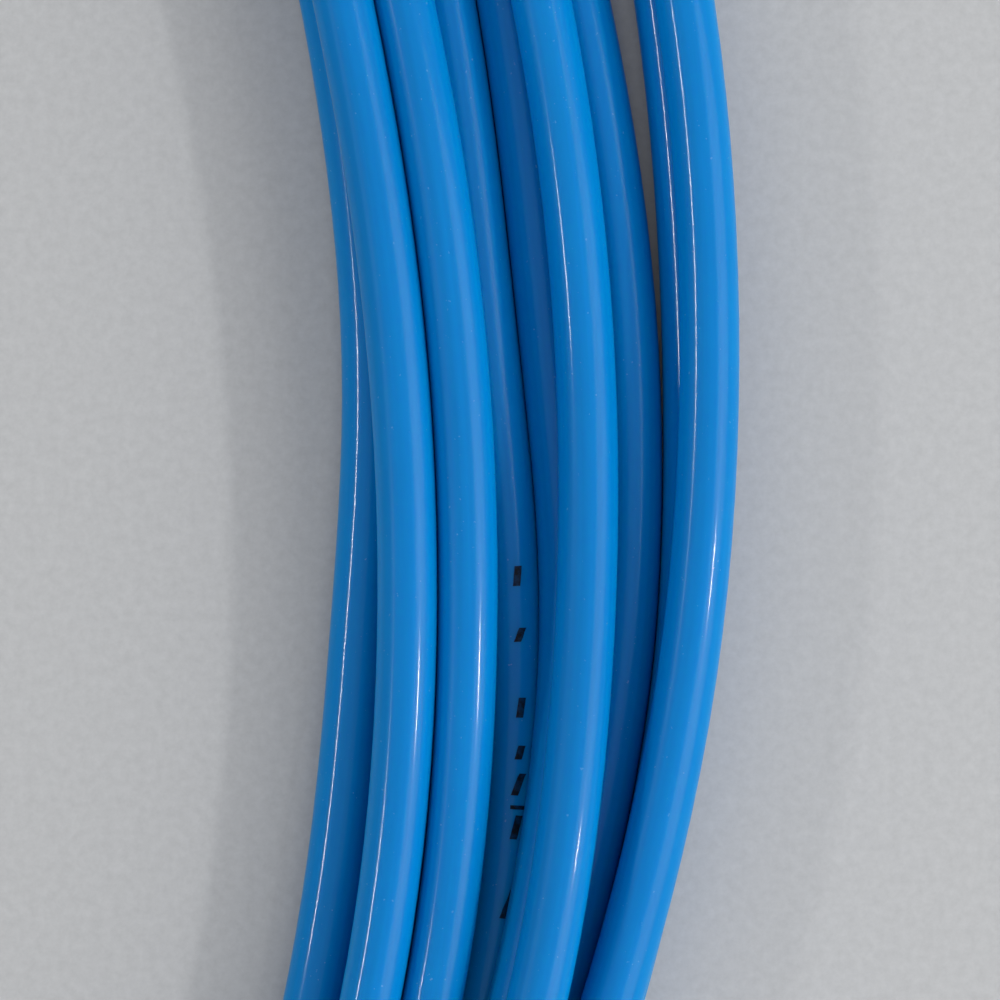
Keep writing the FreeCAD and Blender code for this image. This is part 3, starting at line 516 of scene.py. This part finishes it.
def print_material():
    """Black ink rolled on the tube, thin in places."""
    n = Nodes("black_print")
    where = n.place()
    n.set(Specular_IOR_Level=0.15)
    ink = n.ramp(n.noise(where, 1800.0, 3.0, 0.6),
                 (0.35, (0.000, 0.030, 0.085)), (0.60, (0.001, 0.004, 0.010)))
    n.link(ink, n.shader.inputs["Base Color"])
    n.link(n.ramp(n.noise(where, 900.0, 2.0), (0.3, 0.32), (0.7, 0.55)), n.shader.inputs["Roughness"])
    return n.material


def nylon_material():
    n = Nodes("black_nylon")
    where = n.place()
    n.set(Specular_IOR_Level=0.45)
    clouds = n.noise(where, 320.0, 4.0, 0.6)
    n.link(n.ramp(clouds, (0.3, (0.010, 0.010, 0.011)), (0.7, (0.022, 0.022, 0.024))),
           n.shader.inputs["Base Color"])
    n.link(n.ramp(n.noise(where, 800.0, 3.0), (0.3, 0.36), (0.7, 0.54)), n.shader.inputs["Roughness"])
    n.bump(n.noise(where, 4200.0, 2.0), 0.25, 0.00003)
    n.bump(n.noise(where, 380.0, 2.0), 0.20, 0.00008)
    return n.material


EDGE_ROUNDING = 0.16 * MM


def turned_metal(name, dark, light, rough_low, rough_high, tarnish, worn_to):
    """Metal turned about X: fine rings round its axis, stains, and scuffs."""
    n = Nodes(name)
    where = n.place()
    n.set(Metallic=1.0)
    rings = n.noise(where, 1.0, 3.0, 0.6, stretch=(5200, 60, 60))
    clouds = n.noise(where, 110.0, 5.0, 0.6)
    colour = n.mix(clouds, dark, light)
    colour = n.mix(0.22, colour, n.ramp(rings, (0.3, 0.55), (0.7, 1.0)), "MULTIPLY")
    stained = n.ramp(n.noise(where, 260.0, 6.0, 0.7), (0.55, 0.0), (0.72, 1.0))
    colour = n.mix(n.math("MULTIPLY", stained, 0.45), colour, tarnish)
    worn = n.math("MULTIPLY", n.rounded_edges(EDGE_ROUNDING), n.ramp(clouds, (0.35, 0.2), (0.6, 0.9)))
    colour = n.mix(worn, colour, worn_to)
    n.link(colour, n.shader.inputs["Base Color"])
    rough = n.ramp(n.noise(where, 420.0, 5.0, 0.65), (0.3, rough_low), (0.7, rough_high))
    rough = n.mix(worn, rough, (0.14, 0.14, 0.14))
    n.link(rough, n.shader.inputs["Roughness"])
    n.bump(rings, 0.22, 0.00002)
    n.bump(n.noise(where, 1500.0, 3.0, 0.6), 0.08, 0.00003)
    return n.material


def spring_material():
    """Drawn wire: bright, with streaks and a trace of oil stain."""
    n = Nodes("spring_wire")
    where = n.place()
    n.set(Metallic=1.0)
    streaks = n.noise(where, 1.0, 4.0, 0.6, stretch=(900, 240, 240))
    colour = n.mix(streaks, (0.33, 0.33, 0.34), (0.62, 0.62, 0.61))
    stained = n.ramp(n.noise(where, 300.0, 5.0, 0.65), (0.58, 0.0), (0.74, 1.0))
    colour = n.mix(n.math("MULTIPLY", stained, 0.4), colour, (0.20, 0.15, 0.10))
    n.link(colour, n.shader.inputs["Base Color"])
    n.link(n.ramp(streaks, (0.3, 0.18), (0.7, 0.36)), n.shader.inputs["Roughness"])
    n.bump(streaks, 0.15, 0.00002)
    return n.material


def ball_material():
    n = Nodes("polished_steel")
    where = n.place()
    n.set(Metallic=1.0)
    scuffs = n.noise(where, 1400.0, 6.0, 0.7)
    n.link(n.mix(scuffs, (0.56, 0.56, 0.57), (0.72, 0.72, 0.73)), n.shader.inputs["Base Color"])
    n.link(n.ramp(scuffs, (0.4, 0.06), (0.75, 0.22)), n.shader.inputs["Roughness"])
    return n.material


def rubber_material():
    n = Nodes("nitrile_rubber")
    where = n.place()
    n.set(Specular_IOR_Level=0.4)
    n.link(n.ramp(n.noise(where, 900.0, 4.0), (0.3, (0.008, 0.008, 0.009)), (0.7, (0.022, 0.022, 0.023))),
           n.shader.inputs["Base Color"])
    n.link(n.ramp(n.noise(where, 2000.0, 3.0), (0.3, 0.42), (0.7, 0.62)), n.shader.inputs["Roughness"])
    n.bump(n.noise(where, 3500.0, 2.0), 0.2, 0.00002)
    return n.material


def fibre_material():
    n = Nodes("fibre_gasket")
    where = n.place()
    fibres = n.noise(where, 2400.0, 6.0, 0.75)
    n.link(n.ramp(fibres, (0.3, (0.16, 0.018, 0.010)), (0.7, (0.34, 0.050, 0.026))),
           n.shader.inputs["Base Color"])
    n.link(n.ramp(fibres, (0.3, 0.65), (0.7, 0.9)), n.shader.inputs["Roughness"])
    n.bump(fibres, 0.5, 0.00004)
    return n.material


MATERIALS = {
    "hose": hose_material(),
    "print": print_material(),
    "tie": nylon_material(),
    "brass": turned_metal("turned_brass", (0.62, 0.40, 0.15), (0.78, 0.55, 0.24), 0.20, 0.36,
                          (0.26, 0.15, 0.06), (0.90, 0.68, 0.34)),
    "nickel": turned_metal("nickel_plate", (0.52, 0.50, 0.46), (0.66, 0.64, 0.60), 0.14, 0.30,
                           (0.30, 0.28, 0.25), (0.80, 0.70, 0.50)),
    "spring": spring_material(),
    "ball": ball_material(),
    "rubber": rubber_material(),
    "fibre": fibre_material(),
}


# ---------------------------------------------------------------- hose
HOSE_POINTS = SOCKET_ROUTE + [tuple(p) for p in wind()] + PLUG_ROUTE[::-1]
hose_line = nurbs_line("hose_line", HOSE_POINTS, per_point=3)


def make_hose():
    hose = tube("hose", hose_line, HOSE_RADIUS, HOSE_SIDES)
    hose.data.materials.append(MATERIALS["hose"])
    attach(hose, "root")
    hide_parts("hose_coil", "hose_tail_socket", "hose_tail_plug")
    return hose


hose = make_hose()

# ---------------------------------------------------------------- print along the hose
# Plain strokes, no letters. The printed line wanders round the tube as it does on a coiled hose.
PRINT_UNIT = 118.0 * MM          # the strokes repeat
PRINT_START = 0.0172
STROKES = [                      # start, length, slant across, all in millimetres
    (0.0, 3.2, 0.9), (7.6, 2.4, 0.5), (10.7, 0.5, 0.0), (12.4, 2.2, 0.8), (15.8, 1.4, 0.4),
    (20.2, 1.9, 0.3), (27.6, 1.4, 0.6), (33.0, 2.0, 0.3),
]
TICK_LENGTH = 0.6                # a shorter stroke is a tick across the line
STROKE_WIDTH = 0.75
TICK_WIDTH = 1.5
STROKE_STEP = 0.45
STROKE_JITTER = 0.2
PRINT_LIFT = 0.012 * MM
PRINT_SAMPLE = 0.2 * MM          # spacing of the points that the print is laid on
PRINT_MARGIN = 0.08              # metres without print at each end of the hose
SOCKET_END_LENGTH = 0.40         # metres of hose before the first turn's far side, and after the last
PLUG_END_LENGTH = 0.26
# angle of the printed line from the top of the tube, in degrees, at the middle of each turn in
# view and at its far side
PRINT_AT_FAN = [150, -12, -150, 165, 190, 160, -165, 150, -140, 165]
PRINT_AT_FAR = [60, 100, -60, 75, 120, 40, -80, -35, 70, 30, 95]


def print_angle(along, total):
    """Angle of the printed line from the top of the tube at a distance along the hose."""
    turns = len(PRINT_AT_FAN)
    keys = [PRINT_AT_FAR[0]]
    for fan, far in zip(PRINT_AT_FAN, PRINT_AT_FAR[1:]):
        keys += [fan, far]
    start, end = SOCKET_END_LENGTH / total, 1 - PLUG_END_LENGTH / total
    at = np.interp(along / total, (start, end), (0.0, 2.0 * turns))
    low = np.clip(np.floor(at).astype(int), 0, len(keys) - 2)
    t = at - low
    t = t * t * (3 - 2 * t)      # as in eased(), for an array
    keys = np.array(keys, float)
    return np.radians(keys[low] * (1 - t) + keys[low + 1] * t)


def make_print(line):
    along = distance_along(line)
    total = along[-1]
    fine = np.arange(PRINT_MARGIN, total - PRINT_MARGIN, PRINT_SAMPLE)
    centre, side, up = (np.column_stack([np.interp(fine, along, values[:, i]) for i in range(3)])
                        for values in (line, *frames_along(line)))
    angle = print_angle(fine, total)
    verts, faces = [], []
    radius = HOSE_RADIUS + PRINT_LIFT
    units = int(total / PRINT_UNIT)
    for unit in range(1, units - 1):
        for start, length, slant in STROKES:
            jitter = random.uniform(-STROKE_JITTER, STROKE_JITTER) * MM
            s0 = PRINT_START + unit * PRINT_UNIT + start * MM + jitter
            is_tick = length < TICK_LENGTH
            half = (TICK_WIDTH if is_tick else STROKE_WIDTH) / 2 * MM
            steps = 2 if is_tick else max(3, int(length / STROKE_STEP))
            base = len(verts)
            for k in range(steps + 1):
                at = s0 + length * MM * k / steps
                i = min(len(fine) - 1, max(0, int(round((at - fine[0]) / PRINT_SAMPLE))))
                lean = slant * MM * (k / steps - 0.5) / HOSE_RADIUS
                for edge in (-1, -0.33, 0.33, 1):
                    a = angle[i] + lean + edge * half / HOSE_RADIUS
                    offset = radius * (math.cos(a) * up[i] + math.sin(a) * side[i])
                    verts.append(centre[i] + offset)
            for k in range(steps):
                for e in range(3):
                    p = base + k * 4 + e
                    faces.append((p, p + 1, p + 5, p + 4))
    marks = add_mesh("hose_print", verts, faces)
    marks.data.materials.append(MATERIALS["print"])
    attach(marks, "root")


make_print(hose_line)


# ---------------------------------------------------------------- cable ties
# Drawn in a tie's own plane: across the ring, and up. Millimetres.
STRAP_HALF = 0.6                 # half the strap's thickness
STRAP_SIDE = 2.4                 # half its width
STRAP_OFFSET = 3.80              # strap's middle from the middles of the tubes that it goes round
STRAP_SIDE_TUBES = 9.3           # where it takes the middle layer's outer tubes to be
STRAP_TOP_SPARE = 0.15           # room over the top layer, and under the bottom one
STRAP_LOW_SPARE = 0.08
TOOTH_PITCH = 1.0
TOOTH_POINTS = 4                 # points along the strap for each tooth
TOOTH_DEPTH = 0.36
HEAD_U = (-3.8, -1.7, 1.5, 3.8)  # the head's block, its tunnel for the strap and its window
HEAD_V = (-3.5, -2.65, -1.9, 1.9, 2.65, 3.5)
HEAD_W = (18.75, 20.35, 22.05, 23.78)
PAWL_U = (-1.45, -0.4, 1.1)
PAWL_V = (-1.6, 1.6)
PAWL_W = (21.72, 22.3, 23.1)
EDGE_BEVEL = 0.3
FLAT_WITHIN = 0.01               # radians between faces that are joined into one
EDGE_FROM = 0.5                  # radians between faces whose edge is bevelled
HEAD_SHARP_FROM = 35             # degrees between faces that are shaded with a sharp edge
STRAP_SHARP_FROM = 40
PATH_SMOOTHING = 12
TAIL_END = 8.8
TAIL_LEVEL = 21.2


def strap_path():
    """From under the head, round the six outer tubes, up into the head and out as the cut tail."""
    up = FLOOR + LIFT
    middle, top, low = up + LAYER, up + 2 * LAYER + STRAP_TOP_SPARE, up + STRAP_LOW_SPARE
    out = STRAP_SIDE_TUBES
    tubes = [(6, top), (out, middle), (6, low), (-6, low), (-out, middle), (-6, top)]
    points = [(-2.5, tubes[0][1] + STRAP_OFFSET)]
    for i, (x, z) in enumerate(tubes):
        last = 6 if i < 5 else 3
        for k in range(last + 1):
            a = math.radians(90 - 60 * i - 10 * k)
            points.append((x + STRAP_OFFSET * math.cos(a), z + STRAP_OFFSET * math.sin(a)))
    points += [(-5.3, 19.55), (-3.6, 20.5), (-2.2, 21.0)]
    points += [(x, TAIL_LEVEL) for x in (-0.6, 1.5, TAIL_END)]
    points = np.array(points)
    along = np.concatenate([[0], np.cumsum(np.hypot(*np.diff(points, axis=0).T))])
    fine = np.arange(0, along[-1], TOOTH_PITCH / TOOTH_POINTS)
    path = np.column_stack([np.interp(fine, along, points[:, i]) for i in (0, 1)])
    for _ in range(PATH_SMOOTHING):
        path[1:-1] += 0.5 * ((path[:-2] + path[2:]) / 2 - path[1:-1])
    return path


def put_on_ring(points, angle):
    """Points (across, along the ring, up) in millimetres to their place at a tie."""
    c, s = math.cos(math.radians(angle)), math.sin(math.radians(angle))
    return [((RING_RADIUS + u * MM) * c - v * MM * s, (RING_RADIUS + u * MM) * s + v * MM * c, w * MM)
            for u, v, w in points]


def make_strap(name, angle):
    """A toothed strap, its faces wound inwards."""
    path = strap_path()
    ahead = np.gradient(path, axis=0)
    ahead /= np.hypot(*ahead.T)[:, None]
    outward = np.column_stack([-ahead[:, 1], ahead[:, 0]])
    t, w = STRAP_HALF, STRAP_SIDE
    verts = []
    for i, (point, out) in enumerate(zip(path, outward)):
        tooth = TOOTH_DEPTH * (i % TOOTH_POINTS) / (TOOTH_POINTS - 1)
        outline = [
            (-w + 0.25, t), (-w + 0.7, t + 0.06), (w - 0.7, t + 0.06), (w - 0.25, t),
            (w, t - 0.25), (w, 0.25 - t), (w - 0.25, -t), (w - 0.7, -t),
            (w - 0.8, tooth - t), (0.8 - w, tooth - t),
            (0.7 - w, -t), (0.25 - w, -t), (-w, 0.25 - t), (-w, t - 0.25),
        ]
        verts += [(point[0] + n * out[0], v, point[1] + n * out[1]) for v, n in outline]
    return add_mesh(name, put_on_ring(verts, angle), loft_faces(len(path), len(outline)))


def carved_block(name, xs, ys, zs, empty):
    """Surface of the cells between these planes, without the empty ones."""
    bm = bmesh.new()
    corners = {}

    def corner(*ijk):
        if ijk not in corners:
            corners[ijk] = bm.verts.new((xs[ijk[0]], ys[ijk[1]], zs[ijk[2]]))
        return corners[ijk]

    size = (len(xs) - 1, len(ys) - 1, len(zs) - 1)
    full = {(i, j, k) for i in range(size[0]) for j in range(size[1]) for k in range(size[2])} - empty
    for cell in full:
        for axis in range(3):
            for side in (0, 1):
                beyond = list(cell)
                beyond[axis] += 2 * side - 1
                if tuple(beyond) in full:
                    continue
                base = list(cell)
                base[axis] += side
                b, c = (axis + 1) % 3, (axis + 2) % 3
                loop = []
                for db, dc in ((0, 0), (1, 0), (1, 1), (0, 1)):
                    at = list(base)
                    at[b] += db
                    at[c] += dc
                    loop.append(corner(*at))
                bm.faces.new(loop if side else loop[::-1])
    bmesh.ops.dissolve_limit(bm, angle_limit=FLAT_WITHIN, verts=bm.verts, edges=bm.edges)
    edges = [e for e in bm.edges if len(e.link_faces) == 2 and e.calc_face_angle() > EDGE_FROM]
    bmesh.ops.bevel(bm, geom=edges, offset=EDGE_BEVEL, segments=3, profile=0.5, affect="EDGES",
                    clamp_overlap=True)
    mesh = bpy.data.meshes.new(name)
    bm.to_mesh(mesh)
    bm.free()
    return mesh


def make_head(name, angle):
    """The head's block with its tunnel and window, and the pawl that holds the strap."""
    tunnel = {(i, j, 1) for i in range(3) for j in (1, 2, 3)}
    window, step = (1, 2, 2), (1, 0, 1)
    block = carved_block(name, HEAD_U, HEAD_V, HEAD_W, tunnel | {window})
    pawl = carved_block(name + "_pawl", PAWL_U, PAWL_V, PAWL_W, {step})
    verts, faces = [], []
    for mesh in (block, pawl):
        base = len(verts)
        verts += [tuple(v.co) for v in mesh.vertices]
        faces += [tuple(base + i for i in p.vertices) for p in mesh.polygons]
        bpy.data.meshes.remove(mesh)
    head = add_mesh(name, put_on_ring(verts, angle), faces)
    head.data.set_sharp_from_angle(angle=math.radians(HEAD_SHARP_FROM))
    return head


def make_ties():
    for i, angle in enumerate(TIE_ANGLES, start=1):
        strap = make_strap(f"tie_strap_{i}", angle)
        head = make_head(f"tie_head_{i}", angle)
        for piece in (strap, head):
            piece.data.materials.append(MATERIALS["tie"])
            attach(piece, "root")
        strap.data.set_sharp_from_angle(angle=math.radians(STRAP_SHARP_FROM))
        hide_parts(f"tie_{i}")


make_ties()


# ---------------------------------------------------------------- CAD nodes that show
def finish_cad_nodes():
    """Gives each shown CAD node the detailed material of its slot."""
    slots = {part["node"]: part["material_slot"] for part in frame["record"]["subparts"]}
    for name, obj in NODES.items():
        material = MATERIALS[slots[name]]
        if not obj.data.materials:
            obj.data.materials.append(material)
        for slot in obj.material_slots:
            slot.material = material


finish_cad_nodes()


def make_spring(node):
    """The CAD spring's own wire as a piece of its own on the root, with the CAD node hidden."""
    wire = bpy.data.objects.new(node + "_wire", NODES[node].data.copy())
    bpy.context.scene.collection.objects.link(wire)
    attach(wire, "root")
    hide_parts(node)
    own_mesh(wire)


make_spring("sleeve_spring")
make_spring("valve_spring")


# ---------------------------------------------------------------- floor and light
FLOOR_HALF = 6.0
FLOOR_DROP = 0.05 * MM           # keeps the floor clear of what rests on it


def make_floor():
    n = Nodes("pale_floor")
    where = n.place()
    grain = n.ramp(n.noise(where, 900.0, 3.0, 0.7), (0.3, 0.47), (0.7, 0.53))
    n.link(grain, n.shader.inputs["Base Color"])
    n.set(Roughness=0.9, Specular_IOR_Level=0.2)
    half = FLOOR_HALF
    floor = add_mesh("floor", [(-half, -half, 0), (half, -half, 0), (half, half, 0), (-half, half, 0)],
                     [(0, 1, 2, 3)], smooth=False)
    floor.location.z = -FLOOR_DROP
    floor.data.materials.append(n.material)


def add_light(name, place, towards, size, power):
    data = bpy.data.lights.new(name, "AREA")
    data.size = size
    data.energy = power
    light = bpy.data.objects.new(name, data)
    light.location = place
    light.rotation_mode = "QUATERNION"
    light.rotation_quaternion = (Vector(towards) - Vector(place)).to_track_quat("-Z", "Y")
    bpy.context.scene.collection.objects.link(light)


def make_world():
    world = bpy.data.worlds.new("world")
    world.use_nodes = True
    background = world.node_tree.nodes["Background"]
    background.inputs["Color"].default_value = (0.93, 0.96, 1.0, 1)
    background.inputs["Strength"].default_value = 0.42
    bpy.context.scene.world = world


make_floor()
make_world()
add_light("key", (1.10, -0.10, 0.72), VIEW_CENTRE, 0.05, 2.4)
add_light("side", (1.05, -0.15, 0.60), VIEW_CENTRE, 0.8, 5.5)
add_light("fill", (-0.60, 0.02, 0.62), VIEW_CENTRE, 0.06, 1.3)
add_light("overhead", (0.25, 0.10, 1.6), (0.1, 0.0, 0.0), 3.0, 9.0)
bpy.context.scene.view_settings.view_transform = "Standard"
